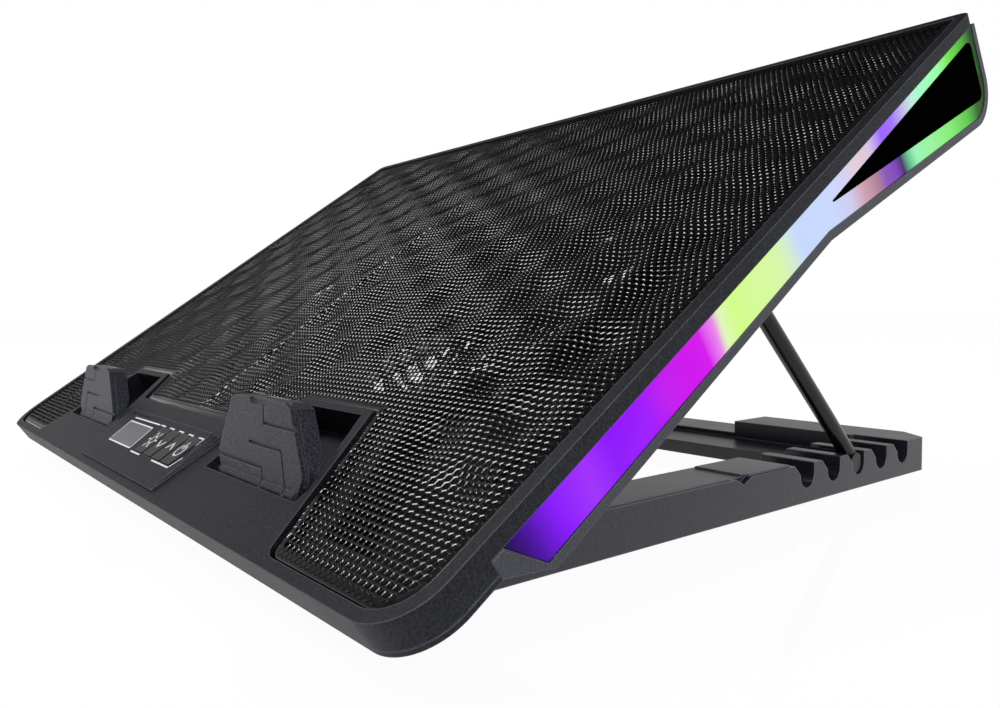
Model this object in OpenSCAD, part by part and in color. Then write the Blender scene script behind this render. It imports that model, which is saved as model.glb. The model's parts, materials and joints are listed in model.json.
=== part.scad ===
// Laptop cooling pad: a tilted deck with a pressed mesh top, two fans and lit sides, hinged
// on a flat base frame and held up by two swinging legs whose feet lie in notches.
// Base pieces are drawn with Y from the deck hinge and Z from the table. Deck pieces are
// drawn flat, with X across, Y up the slope from the front edge and Z from the top face.

/* [Deck] */
// Width of the deck
deck_w = 410; // [400:1:440]
// Depth of the deck, measured up its slope
deck_d = 297.6; // [290:0.2:330]
// Corner radius at the front of the deck
front_corner = 16; // [8:1:20]
// Corner radius at the back of the deck
back_corner = 4; // [3.5:0.5:8]
// Height of the front lip
lip_h = 8.4; // [8:0.1:9]
// Thickness of the deck's floor below its lip
lip_floor = 1.6; // [1.2:0.1:2]
// Depth from the top face to the underside of the tray
deck_h = 17.5; // [17:0.1:20]
// Wall of the tray
tray_wall = 2; // [1.6:0.1:2.2]
// Thickness of the top frame's face
frame_face = 2.4; // [2:0.1:2.6]
// Height of the top frame's outer skirt
skirt_h = 4.5; // [4.3:0.1:5]
// Thickness of the top frame's outer skirt
skirt_t = 2; // [1.6:0.1:2.2]
// Tilt of the deck with the feet in the middle notch
tilt = 34.2; // [33:0.1:35]

/* [Mesh] */
// Width of the rim beside the mesh
mesh_rim = 4; // [4:0.1:6]
// Thickness of the mesh sheet
mesh_t = 0.8; // [0.6:0.1:1.2]
// Depth of the mesh sheet's top face below the deck's top face
mesh_drop = 0.7; // [0.6:0.1:0.9]
// Distance between the middles of the dishes pressed into the mesh
dish_pitch = 28.4; // [28:0.1:29]
// Depth of the dishes
dish_depth = 1.6; // [0.6:0.1:1.8]
// Width of the ridges between the dishes
dish_ridge = 2.4; // [0.8:0.1:3]
// Half width of a dish's flat floor
dish_floor = 3; // [2:0.5:8]
// Half width of the opening in a dish
dish_hole = 7; // [4:0.5:9]
// Width of the ledge under the mesh
ledge_w = 12; // [10:0.5:13]
// Width of the ribs under the mesh
rib_w = 5; // [4:0.5:7]

/* [Sides] */
// Width of the lit side frames
side_w = 9; // [8:0.1:10]
// Depth of the side frames along their straight front part
side_h = 19; // [18.6:0.1:20]
// Extra depth of the side frames at the back
lobe_drop = 21.7; // [18:0.1:22]
// Where the side frames begin to deepen
lobe_start = 172; // [160:1:180]
// Radius of the back lower corner of the side frames
lobe_r = 13; // [10:1:15]
// Where the side frames begin, behind the front edge
side_start = 26; // [25:0.5:28]
// Width of the band round the lit diffuser
band_w = 2.6; // [2:0.1:3]
// Thickness of the diffuser
diffuser_t = 4.6; // [3:0.1:5]
// Thickness of the plain black side plate
plate_t = 0.4; // [0.3:0.1:0.8]

/* [Fans] */
// Outside radius of a fan frame
fan_r = 61; // [56:0.5:62]
// Wall of the fan frame
fan_wall = 3; // [2.5:0.1:4]
// Height of the fan frame
fan_h = 9.6; // [9:0.1:9.8]
// From a fan's middle out to the leg beside it
fan_inset = 66.4; // [64.4:0.5:70.4]
// Distance of the fans from the front edge
fan_y = 128; // [126:0.5:134]
// Number of fan blades
fan_blades = 9; // [5:1:11]
// Pitch of the fan blades
blade_pitch = 38; // [25:1:42]
// Radius of the fan hub
hub_r = 16; // [15:0.5:20]
// Radius of the fan shaft
shaft_r = 1.5; // [1.2:0.1:2]

/* [Stoppers] */
// Distance of each stopper from the middle
stop_x = 96.7; // [96:0.1:98]
// Half width of the stopper near its foot
stop_half = 30.3; // [27:0.1:30.5]
// Half width of the stopper at its top
stop_top = 21.6; // [16:0.1:21.8]
// Length of the stopper above its pin
stop_len = 26.2; // [24:0.1:28]
// Thickness of the stopper
stop_t = 7.6; // [6.8:0.1:7.8]
// Lean of the raised stopper, back from the deck's normal
stop_lean = 38; // [30:1:42]
// Distance of the stopper's pin behind the front edge
stop_y = 22.8; // [22.5:0.1:23.5]
// Depth of the stopper's pin below the top face
stop_drop = 4.2; // [4:0.1:4.4]
// Radius of the stopper's pin
stop_pin_r = 1.5; // [1.2:0.1:1.8]
// Depth of the pocket that a stopper folds into
pocket_h = 11.5; // [10.5:0.1:12]

/* [Controls] */
// Half width of the control panel at its front
panel_half = 49; // [47:0.5:51]
// Half width of the control panel at its back
panel_half_back = 55; // [53:0.5:57]
// Height of the panel above the deck at its front
panel_low = 0.9; // [0.6:0.1:1.2]
// Height of the panel above the deck at its back
panel_high = 2.4; // [2:0.1:3]
// Wall of the panel
panel_t = 1.5; // [1.2:0.1:1.8]
// Spacing of the keys
key_pitch = 10.6; // [10:0.1:11]
// Width of a key
key_w = 9.2; // [8:0.1:9.4]
// Length of a key
key_l = 13; // [11:0.1:13.5]
// Travel of a key
key_travel = 0.6; // [0.4:0.1:0.8]

/* [Base] */
// How far the base's sides lie inside the deck's
base_inset = 34.3; // [32:0.2:37]
// Reach of the base frame behind the hinge
base_reach = 252; // [250:1:258]
// Reach of the base frame in front of the hinge
base_front = 10; // [9:0.5:12]
// Width of each arm of the base frame
arm_w = 23.3; // [22:0.1:25]
// Height of the base frame's top above the table
base_top = 15.8; // [15.4:0.1:16.4]
// Thickness of the part of the rubber feet that shows
foot_h = 1.5; // [1:0.1:2]
// Distance of the first notch behind the hinge
notch_first = 149.3; // [149:0.1:150]
// Spacing of the notches
notch_pitch = 18.45; // [18.2:0.05:18.6]
// Width of a notch
notch_w = 9.2; // [9:0.1:9.4]
// Height of the notches' floor above the table
notch_floor = 6.9; // [6.6:0.1:7.2]

/* [Hinge and legs] */
// Height of the hinge above the table
hinge_z = 10; // [9.5:0.1:10.5]
// Depth of the hinge below the deck's top face
hinge_drop = 29.8; // [29:0.1:31]
// Distance of the hinge from the deck's front edge
hinge_y = 40.2; // [39:0.1:41]
// Radius of the hinge pin
hinge_pin_r = 2; // [1.5:0.1:2.5]
// Radius of the hinge knuckles
knuckle_r = 6; // [5.5:0.1:6.2]
// Radius of a leg
leg_foot_r = 4.1; // [3.8:0.05:4.2]
// Radius of a leg's rod
leg_r = 3.2; // [2.8:0.1:3.6]
// Distance of the leg's pivot from the deck's front edge
leg_y = 171; // [170:0.5:172]
// Depth of the leg's pivot below the top face
leg_drop = 14; // [13.6:0.1:14.2]

/* [Hidden] */
$fn = 48;
eps = 0.01;
gap = 0.15;              // gap between neighbouring shells
fit = 0.05;              // radial clearance of a pin in its hole
side = [1, -1];          // right and left

// Places worked out from the sizes above
half_w = deck_w / 2;
tray_half = half_w - side_w;
front_y = -hinge_y * cos(tilt) - hinge_drop * sin(tilt);
mid_y = (front_y + base_reach) / 2;
arm_out = half_w - base_inset;   // outer sides of the base's arms
arm_in = arm_out - arm_w;
notch_seat = notch_first + 2 * notch_pitch;
notch_cham = 3.8;        // slope in front of each notch, where the leaning leg clears it
leg_x = arm_out - leg_foot_r - 0.2;
fan_x = leg_x - fan_inset;
seat_z = notch_floor + leg_foot_r + 0.3;
leg_knee = 3;            // height of the upright part of the foot
leg_dy = leg_y - hinge_y;
leg_dz = hinge_drop - leg_drop;
pivot_y = leg_dy * cos(tilt) - leg_dz * sin(tilt);
pivot_z = hinge_z + leg_dy * sin(tilt) + leg_dz * cos(tilt);
leg_run = notch_seat - pivot_y;
leg_rise = pivot_z - seat_z - leg_knee;
leg_len = norm([leg_run, leg_rise]);
leg_angle = atan2(leg_rise, leg_run);
channel_half = leg_foot_r + 1.4;   // half width of the channel that a folded leg lies in
channel_start = leg_y - 8;
channel_top = leg_drop - leg_foot_r - 0.8;
hinge_x = [110, -110];        // middles of the two hinges
lug_half = 9.6;               // half width of the deck's hinge lug
ear_w = 12;                   // width of each base knuckle
ramp = [[8, 14], [26, 38]];   // where the underside drops: in the middle, and at the sides
panel_y = 3.4;                // front edge of the mesh and of the panel
panel_d = 27.4;               // depth of the panel
panel_slope = atan((panel_high - panel_low) / panel_d);
bay_y = 39.6;                 // front edge of the mesh behind the panel
dish_at = [8.5, 22.6];        // middle of one dish, from which the others are counted
bay_half = 64;
pocket_y = [19.2, 54];        // front and back of a stopper's pocket
pocket_half = [34, 19.6];
pocket_straight = 24;
pocket_wall = 1.6;
rib_low = -5.7;               // underside of the ribs under the mesh
deep_r = 20;                  // front corners of the tray's deep part
lobe_edge = 141.6;              // inner front corner of the mesh beside the front corners
mesh_back = 294;
stop_face = 2.1;         // the stopper's face lies this far in front of its pin
key_first = 8.2;
key_y = 16.8;
key_slant = 3.2;
usb_x = [55 - half_w, 77 - half_w];   // middles of the two sockets
usb_z = -10.6;
window = [[-35.4, 10.4], [-5.4, 21.4]];
slot = [[-44, 24.6], [-18, 26.2]];   // shallow recess beside the window
rib_x = half_w - 21;          // middles of the side ribs
screw_y = [66, 205, 284];
screw_at = [for (x = [0, rib_x, -rib_x], y = screw_y) [x, y]];
foot_y = [2, 126, 236];       // middles of the rubber feet, behind the hinge

// Outlines. Corner lists run anticlockwise.
function unit(v) = v / norm(v);
function left_of(v) = [-v[1], v[0]];
function turned(v, a) = [v[0] * cos(a) - v[1] * sin(a), v[0] * sin(a) + v[1] * cos(a)];
function wrap(p, i) = p[(i + len(p)) % len(p)];
// An outline with every edge moved inward by d
function inset(p, d) = [for (i = [0:len(p) - 1])
    let (n1 = left_of(unit(p[i] - wrap(p, i - 1))), n2 = left_of(unit(wrap(p, i + 1) - p[i])))
    p[i] + d * (n1 + n2) / (1 + n1 * n2)];
// An outline whose corner i is rounded with radius r[i], in finer steps where it is large
function rounded(p, r) = [for (i = [0:len(p) - 1])
    let (e1 = unit(p[i] - wrap(p, i - 1)), e2 = unit(wrap(p, i + 1) - p[i]),
        bend = atan2(e1[0] * e2[1] - e1[1] * e2[0], e1 * e2), s = sign(bend),
        start = p[i] - e1 * r[i] * tan(abs(bend) / 2), steps = ceil(abs(bend) / (r[i] > 5 ? 5 : 15)))
    each r[i] == 0 ? [p[i]] : [for (k = [0:steps])
        start + s * r[i] * left_of(e1) - s * r[i] * turned(left_of(e1), bend * k / steps)]];
// A half outline on the right, followed by its mirror image on the left
function both_sides(p) = concat(p, [for (i = [len(p) - 1:-1:0]) [-p[i][0], p[i][1]]]);

plan = rounded([[-half_w, 0], [half_w, 0], [half_w, deck_d], [-half_w, deck_d]],
    [front_corner, front_corner, back_corner, back_corner]);
mesh_x = half_w - mesh_rim;
mesh_corners = both_sides([[bay_half, bay_y],
    [stop_x - pocket_half[1] - 3, pocket_y[1] + 3], [stop_x + pocket_half[1] + 3, pocket_y[1] + 3],
    [lobe_edge, panel_y], [mesh_x, panel_y], [mesh_x, mesh_back]]);
mesh_radii = [0, 0, 0, 6, front_corner - mesh_rim + 1, 2];
// The mesh's outline with every edge moved inward by d
function mesh_outline(d) = rounded(inset(mesh_corners, d),
    [for (r = concat(mesh_radii, [for (i = [5:-1:0]) mesh_radii[i]])) r == 0 ? 0 : max(r - d, 0)]);
pocket = [[-pocket_half[0], pocket_y[0]], [pocket_half[0], pocket_y[0]],
    [pocket_half[0], pocket_straight], [pocket_half[1], pocket_y[1]],
    [-pocket_half[1], pocket_y[1]], [-pocket_half[0], pocket_straight]];
panel_outline = [[-panel_half, panel_y], [panel_half, panel_y],
    [panel_half_back, panel_y + panel_d], [-panel_half_back, panel_y + panel_d]];
lobe_slope = lobe_drop / (deck_d - lobe_start);
// Side views, with Y up the slope and Z down from the top face
side_outline = rounded([[side_start, -skirt_h - gap], [side_start, -lip_h - lip_floor],
    [ramp[1][1], -side_h], [lobe_start, -side_h], [deck_d, -side_h - lobe_drop],
    [deck_d, -skirt_h - gap]], [0, 0, 0, 0, lobe_r, 0]);
light_outline = rounded([[side_start + 3.5, -skirt_h], [ramp[1][1] - 1, -side_h + band_w],
    [lobe_start + 1, -side_h + band_w],
    [deck_d - band_w, -side_h + band_w - lobe_slope * (deck_d - band_w - lobe_start - 1)],
    [deck_d - band_w, -skirt_h]], [0, 0, 0, lobe_r - band_w, 0]);
plate_tip = [lobe_start + 4.5, -9.7];
plate_back = deck_d - 6.6;
plate_outline = rounded([plate_tip,
    [plate_back, plate_tip[1] - (lobe_slope + 0.012) * (plate_back - plate_tip[0])],
    [plate_back, plate_tip[1] + 1.5]], [0.3, 3, 3]);

// Placing
module on_base() {
    translate([0, -mid_y, 0]) children();
}

module on_deck() {
    translate([0, -mid_y, hinge_z]) rotate([tilt, 0, 0])
        translate([0, -hinge_y, hinge_drop]) children();
}

// The panel's own frame: Y up the panel from its front edge, Z from its sloping face
module on_panel() {
    on_deck() translate([0, panel_y, panel_low]) rotate([panel_slope, 0, 0]) children();
}

// A flat outline as a slab between two heights
module slab(outline, low, high) {
    translate([0, 0, low]) linear_extrude(high - low) polygon(outline);
}

// A side view as a slab that runs along X from x0 to x1
module side_slab(outline, x0, x1) {
    translate([x0, 0, 0]) rotate([90, 0, 90]) linear_extrude(x1 - x0) polygon(outline);
}

module block(low, high) {
    translate(low) cube(high - low);
}

// A round bar along X, centred on x = 0
module x_bar(r, len) {
    rotate([0, 90, 0]) cylinder(r = r, h = len, center = true);
}

module mirrored(s) {
    mirror([s > 0 ? 0 : 1, 0, 0]) children();
}

// Base frame
module notch_cutter(y) {
    depth = base_top + eps - notch_floor;
    translate([arm_out - arm_w / 2, y, 0]) {
        translate([0, 0, notch_floor + notch_w / 2]) x_bar(notch_w / 2, arm_w + 2);
        block([-arm_w / 2 - 1, -notch_w / 2, notch_floor + notch_w / 2],
            [arm_w / 2 + 1, notch_w / 2, notch_floor + depth]);
        side_slab([[-notch_w / 2 + eps, base_top - notch_cham],
            [-notch_w / 2 + eps, base_top + 1], [-notch_w / 2 - notch_cham - 1, base_top + 1]],
            -arm_w / 2 - 1, arm_w / 2 + 1);
    }
}

module base_outline() {
    chamfer = 10;
    outer = [[-arm_out, -base_front], [arm_out, -base_front], [arm_out, base_reach - chamfer],
        [arm_out - chamfer - 3, base_reach], [-arm_out + chamfer + 3, base_reach],
        [-arm_out, base_reach - chamfer]];
    polygon(rounded(outer, [6, 6, 3, 3, 3, 3]));
}

module base_frame() {
    bar_z = 9;             // top of the front bar
    shelf_z = 7.6;         // top of the low shelf at the back
    shelf_y = 197;         // front of that shelf
    wall_y = 225.5;        // front of the back wall
    low_wall_z = 10;       // top of the back wall's low middle
    low_wall_half = 85;
    pad_z = [0.3, 0.6];    // heights of the raised panels along the arms
    groove_y = 110;        // groove between the two raised panels
    groove = [4.4, 2.2];   // its half width and depth
    cavity_top = base_top - 2.4;   // top of the hollows between the ribs under each arm
    cell = 19;             // spacing of those ribs
    wide = 2 * arm_out;
    color("#2f3035") on_base() difference() {
        union() {
            intersection() {
                translate([0, 0, foot_h]) linear_extrude(base_top - foot_h) base_outline();
                union() {
                    for (s = side) mirrored(s)
                        block([arm_in, -base_front, 0], [arm_out, base_reach, base_top]);
                    block([-arm_out, -base_front, 0], [arm_out, base_front, bar_z]);
                    block([-arm_out, shelf_y, 0], [arm_out, base_reach, shelf_z]);
                    block([-arm_out, wall_y, 0], [arm_out, base_reach, low_wall_z]);
                    for (s = side) mirrored(s)
                        block([low_wall_half, wall_y, 0], [arm_out, base_reach, base_top]);
                }
            }
            for (s = side) mirrored(s) {
                block([arm_in + 1, base_front + 4, base_top - eps],
                    [arm_out - 1.8, groove_y - groove[0] - 0.8, base_top + pad_z[0]]);
                block([arm_in + 1, groove_y + 2, base_top - eps],
                    [arm_out - 1.2, notch_first - notch_w / 2 - notch_cham - 2, base_top + pad_z[1]]);
            }
            for (x = hinge_x, s = side) translate([x + s * (lug_half + 0.4 + ear_w / 2), 0, 0]) {
                translate([0, 0, hinge_z]) x_bar(knuckle_r, ear_w);
                block([-ear_w / 2, -knuckle_r, foot_h], [ear_w / 2, knuckle_r, hinge_z]);
            }
        }
        for (s = side) mirrored(s) {
            for (i = [0:4]) notch_cutter(notch_first + i * notch_pitch);
            for (y = [foot_y[0] + 14:cell:foot_y[1] - 12 - cell])
                block([arm_in + 2.2, y, -eps], [arm_out - 2.2, y + cell - 2, cavity_top]);
            translate([0, groove_y, base_top]) side_slab([[-groove[0], 1], [-groove[0], 0],
                [0, -groove[1]], [groove[0], 0], [groove[0], 1]], arm_out - 2.4, arm_out + 1);
        }
        for (x = hinge_x) {
            translate([x, 0, hinge_z]) x_bar(hinge_pin_r + fit, 2 * (lug_half + ear_w) + 4);
            block([x - lug_half - 0.4, -base_front - 1, 3.2], [x + lug_half + 0.4, knuckle_r + 1.5, wide]);
        }
        for (s = side, y = foot_y) mirrored(s) foot(y, 0.8);
    }
}

// One rubber foot: a flat round-ended pad, set into the underside by lift
module foot(y, lift) {
    translate([arm_out - arm_w / 2, y, 0]) {
        for (t = side) translate([0, t * 5, 0]) cylinder(r = 6, h = foot_h + lift);
        block([-6, -5, 0], [6, 5, foot_h + lift]);
    }
}

module base_feet() {
    color("#1b1b1d") on_base() for (s = side, y = foot_y) mirrored(s) foot(y, 0.8);
}

module hinge_pins() {
    color("#b9bcc2") on_base() for (x = hinge_x)
        translate([x, 0, hinge_z]) x_bar(hinge_pin_r, 2 * (lug_half + ear_w));
}

// Legs, drawn where they stand
module leg(s) {
    color("#26272b") on_base() mirrored(s) translate([leg_x, 0, 0]) difference() {
        union() {
            translate([0, notch_seat, seat_z]) {
                x_bar(leg_foot_r, 2 * leg_foot_r - 1.2);
                cylinder(r = leg_r, h = leg_knee);
                translate([0, 0, leg_knee]) {
                    sphere(r = leg_r);
                    rotate([90 - leg_angle, 0, 0]) cylinder(r = leg_r, h = leg_len);
                }
                translate([-arm_w / 2 + 3, 0, 0]) x_bar(leg_foot_r - 0.6, arm_w - 6);
            }
            translate([0, pivot_y, pivot_z]) x_bar(leg_foot_r + 0.4, 2 * leg_foot_r);
        }
        translate([0, pivot_y, pivot_z]) x_bar(hinge_pin_r + fit, 3 * leg_foot_r);
    }
}

module leg_right() {
    leg(1);
}

module leg_left() {
    leg(-1);
}

// Rubber sleeve round the inward part of a foot
module leg_sleeve(s) {
    sleeve_l = 12;
    color("#1b1b1d") on_base() mirrored(s)
        translate([leg_x - leg_foot_r - 1 - sleeve_l / 2, notch_seat, seat_z]) difference() {
            x_bar(leg_foot_r, sleeve_l);
            x_bar(leg_foot_r - 0.6 + 0.02, sleeve_l + 1);
        }
}

module leg_sleeve_right() {
    leg_sleeve(1);
}

module leg_sleeve_left() {
    leg_sleeve(-1);
}

module leg_pins() {
    color("#b9bcc2") on_deck() for (s = side) mirrored(s)
        translate([leg_x, leg_y, -leg_drop]) x_bar(hinge_pin_r, 2 * (channel_half + tray_wall));
}

// Deck shell
module top_frame() {
    boss_r = 3.2;
    color("#2d2e32") on_deck() difference() {
        union() {
            difference() {
                slab(plan, -frame_face, 0);
                slab(mesh_outline(0), -skirt_h, 1);
                slab(inset(panel_outline, 2), -skirt_h, 1);
            }
            difference() {
                slab(plan, -skirt_h, -frame_face + eps);
                slab(inset(plan, skirt_t), -skirt_h - 1, 1);
            }
            intersection() {
                difference() {
                    slab(plan, -lip_h, -skirt_h + eps);
                    slab(inset(plan, skirt_t), -lip_h - 1, 1);
                }
                block([-half_w, -1, -lip_h], [half_w, side_start - gap, 0]);
            }
            difference() {
                slab(mesh_outline(skirt_t - mesh_rim), -skirt_h, -3.6);
                slab(mesh_outline(ledge_w), -skirt_h - 1, 0);
            }
            difference() {
                slab(mesh_outline(7.6), rib_low, -skirt_h + eps);
                slab(mesh_outline(ledge_w), rib_low - 1, 0);
            }
            for (x = [0, rib_x, -rib_x])
                block([x - rib_w / 2, bay_y + 5, rib_low], [x + rib_w / 2, mesh_back - 5, -3.6]);
            block([-rib_x, screw_y[1] - rib_w / 2, rib_low], [rib_x, screw_y[1] + rib_w / 2, -3.6]);
            for (p = screw_at) translate([p[0], p[1], -deck_h + tray_wall])
                cylinder(r = boss_r, h = deck_h - tray_wall - 4);
            for (s = side) mirrored(s) translate([stop_x, 0, 0])
                slab(inset(pocket, -pocket_wall), -pocket_h - pocket_wall, -eps);
        }
        for (s = side) mirrored(s) translate([stop_x, 0, 0]) {
            slab(pocket, -pocket_h, 1);
            translate([0, stop_y, -stop_drop])
                x_bar(stop_pin_r + fit, 2 * (pocket_half[0] + pocket_wall) + 1);
        }
        for (p = screw_at) translate([p[0], p[1], -deck_h]) cylinder(r = 1.25, h = deck_h - 6.4);
    }
}

// Places a shape in the middle of each dish pressed into the mesh sheet
module at_dishes(reach) {
    for (i = [-8:7], j = [0:10]) {
        x = dish_at[0] + i * dish_pitch * cos(30);
        y = dish_at[1] + (j + (i % 2 == 0 ? 0 : 0.5)) * dish_pitch;
        front = abs(x) > 146 ? 34 : abs(x) > 70 ? 66 : 50;
        if (abs(x) < reach && y > front && y < mesh_back - 10) translate([x, y, 0]) children();
    }
}

// Hexagonal dishes, seen as hollows below the level top
module dishes(top) {
    over = 0.05;
    r = [dish_floor, dish_pitch / 2 - dish_ridge / 2] / cos(30);
    at_dishes(mesh_x - 9) translate([0, 0, top - dish_depth])
        cylinder(r1 = r[0], r2 = r[1] + over * (r[1] - r[0]) / dish_depth,
            h = dish_depth + over, $fn = 6);
}

// The sheet's perforation as one opening in each dish
module dish_openings() {
    at_dishes(mesh_x - 58) translate([0, 0, -mesh_drop - dish_depth - 2])
        cylinder(r = dish_hole / cos(30), h = dish_depth + 3, $fn = 6);
}

module mesh_grille() {
    low = -3.45;
    sheet = -mesh_drop - mesh_t;
    color("#1d1d20") on_deck() {
        difference() {
            union() {
                difference() {
                    slab(mesh_outline(0.3), low, -mesh_drop);
                    slab(mesh_outline(0.3 + mesh_t), low - 1, sheet);
                }
                intersection() {
                    slab(mesh_outline(0.3), low, sheet + eps);
                    dishes(sheet);
                }
            }
            intersection() {
                slab(mesh_outline(0.3 + 2 * mesh_t), low - 1, 0);
                dishes(-mesh_drop);
            }
            dish_openings();
        }
        difference() {
            intersection() {
                slab(mesh_outline(-1.7), low, -frame_face - 0.1);
                slab(inset(plan, skirt_t + gap), low - 1, 0);
            }
            slab(mesh_outline(0.3 + mesh_t), low - 1, 0);
            for (s = side) mirrored(s) translate([stop_x, 0, 0])
                slab(inset(pocket, -pocket_wall - gap), low - 1, 0);
        }
    }
}

module intake(x) {
    slot = 4.6;
    step = 7.2;
    spoke = 3.4;
    translate([x, fan_y, -deck_h - 1]) difference() {
        for (r = [hub_r:step:fan_r - fan_wall - slot]) difference() {
            cylinder(r = r + slot, h = tray_wall + 2);
            translate([0, 0, -1]) cylinder(r = r, h = tray_wall + 4);
        }
        for (a = [0:45:135]) rotate(a) cube([2 * fan_r, spoke, 4 * tray_wall], center = true);
    }
}

module bottom_tray() {
    floor_z = -deck_h + tray_wall;
    top_z = -skirt_h - 0.2;
    back = deck_d - 0.2;
    low = -lip_h - lip_floor;
    start = ramp[0];
    end = ramp[0][1];
    profile = [[start[0] - 2, low], [start[0], low], [end, -deck_h], [back, -deck_h],
        [back, top_z], [back - tray_wall, top_z], [back - tray_wall, floor_z],
        [end + 1, floor_z], [start[0] + 1, -lip_h - gap], [start[0] - 2, -lip_h - gap]];
    wall = [[start[0], low], [end, -deck_h], [back, -deck_h], [back, top_z],
        [start[0] + deep_r + 2, top_z], [start[0] + deep_r + 2, rib_low - gap], [start[0], rib_low - gap]];
    deep = [[-tray_half + gap, start[0]], [tray_half - gap, start[0]],
        [tray_half - gap, back], [-tray_half + gap, back]];
    outer = rounded(deep, [deep_r, deep_r, 0, 0]);
    inner = rounded(inset(deep, tray_wall), [deep_r - tray_wall, deep_r - tray_wall, 0, 0]);
    ceiling = -channel_top + tray_wall;
    color("#28292d") on_deck() difference() {
        union() {
            difference() {
                intersection() {
                    slab(plan, low, -lip_h - gap);
                    union() {
                        block([-half_w, -1, low], [half_w, start[0] + tray_wall, 0]);
                        for (s = side) mirrored(s)
                            block([tray_half - deep_r - 2, -1, low], [half_w, side_start - gap, 0]);
                    }
                }
                slab(inner, low - 1, 0);
            }
            intersection() {
                side_slab(profile, -tray_half + gap, tray_half - gap);
                slab(outer, -deck_h - 1, 0);
            }
            for (s = side) mirrored(s) {
                difference() {
                    intersection() {
                        side_slab(wall, tray_half - deep_r - 2, tray_half - gap);
                        slab(outer, -deck_h - 1, 0);
                    }
                    slab(inner, -deck_h - 2, 1);
                }
                block([leg_x - channel_half - tray_wall, channel_start - tray_wall, -deck_h],
                    [leg_x + channel_half + tray_wall, back - eps, ceiling]);
            }
            for (x = hinge_x) translate([x, hinge_y, 0]) {
                translate([0, 0, -hinge_drop]) x_bar(knuckle_r, 2 * lug_half);
                block([-lug_half, -knuckle_r, -hinge_drop], [lug_half, knuckle_r, -deck_h + eps]);
            }
            for (p = usb_x) block([p - 9, back - 16, floor_z - eps], [p + 9, back - 3, usb_z - 4]);
        }
        for (s = side) mirrored(s) {
            block([leg_x - channel_half, channel_start, -deck_h - 1],
                [leg_x + channel_half, back + 1, -channel_top]);
            translate([leg_x, leg_y, -leg_drop]) x_bar(hinge_pin_r + fit, 4 * channel_half);
        }
        for (x = hinge_x) translate([x, hinge_y, -hinge_drop]) x_bar(hinge_pin_r + fit, 3 * lug_half);
        for (s = side) intake(s * fan_x);
        for (p = screw_at) translate([p[0], p[1], -deck_h - 1]) {
            cylinder(r = 1.5, h = tray_wall + 2);
            cylinder(r = 2.6, h = 1 + 1.2);
        }
        for (p = usb_x) block([p - 7.2, back - tray_wall - 1, usb_z - 3.4], [p + 7.2, back + 1, usb_z + 3.4]);
        for (s = side, a = [45:90:315]) translate([s * fan_x, fan_y, -deck_h - 1])
            rotate(a) translate([fan_r + 3, 0, 0]) cylinder(r = 1.35, h = tray_wall + 2);
    }
}

module tray_screws() {
    color("#8d9096") on_deck() for (p = screw_at) translate([p[0], p[1], -deck_h + 0.1]) {
        cylinder(r = 2.4, h = 1.1);
        cylinder(r = 1.2, h = 9.5);
    }
}

// Lit sides
module side_frame(s) {
    back_t = 1.4;
    color("#4a4c52") on_deck() mirrored(s) {
        difference() {
            side_slab(side_outline, tray_half, half_w);
            side_slab(light_outline, tray_half + back_t, half_w + 1);
            side_slab(cap_outline(0), half_w - 3, half_w + 1);
        }
    }
}

module side_frame_right() {
    side_frame(1);
}

module side_frame_left() {
    side_frame(-1);
}

// The small six-sided cap in front of the light, made smaller all round by d
function cap_outline(d) = inset([[side_start - 1, -skirt_h - gap - 0.3], [side_start - 1, -lip_h - 1.2],
    [side_start + 5, -15], [ramp[1][1], -side_h + 1.2], [ramp[1][1] + 1.2, -side_h + band_w - eps],
    [ramp[1][1] - 1, -side_h + band_w - eps], [side_start + 3.5, -skirt_h - gap - 0.3]], d);

module light_end_cap(s) {
    color("#3a3b40") on_deck() mirrored(s) intersection() {
        side_slab(cap_outline(0.1), half_w - 2.9, half_w - 0.05);
        side_slab(side_outline, half_w - 3, half_w);
    }
}

module light_end_cap_right() {
    light_end_cap(1);
}

module light_end_cap_left() {
    light_end_cap(-1);
}

module light_diffuser(s) {
    color("#a35cf0") on_deck() mirrored(s)
        side_slab(inset(light_outline, gap), half_w - plate_t - diffuser_t, half_w - plate_t);
}

module light_diffuser_right() {
    light_diffuser(1);
}

module light_diffuser_left() {
    light_diffuser(-1);
}

module side_plate(s) {
    color("#08080a") on_deck() mirrored(s) side_slab(plate_outline, half_w - plate_t, half_w);
}

module side_plate_right() {
    side_plate(1);
}

module side_plate_left() {
    side_plate(-1);
}

module led_strip(s) {
    x = tray_half + 1.4;
    led_start = 48;
    led_pitch = 16;
    color("#e8e8e0") on_deck() mirrored(s) {
        block([x, led_start - 6, -13.4], [x + 0.6, deck_d - 14, -7.4]);
        for (y = [led_start:led_pitch:deck_d - 18])
            block([x + 0.6 - eps, y - 1.7, -12], [x + 1.5, y + 1.7, -8.8]);
    }
}

module led_strip_right() {
    led_strip(1);
}

module led_strip_left() {
    led_strip(-1);
}

// Fans. Each stands on the tray's floor
fan_low = -deck_h + tray_wall;
mount_t = 1.5;
hub_low = fan_low + 2.1;
hub_high = fan_low + 9.1;

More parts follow.
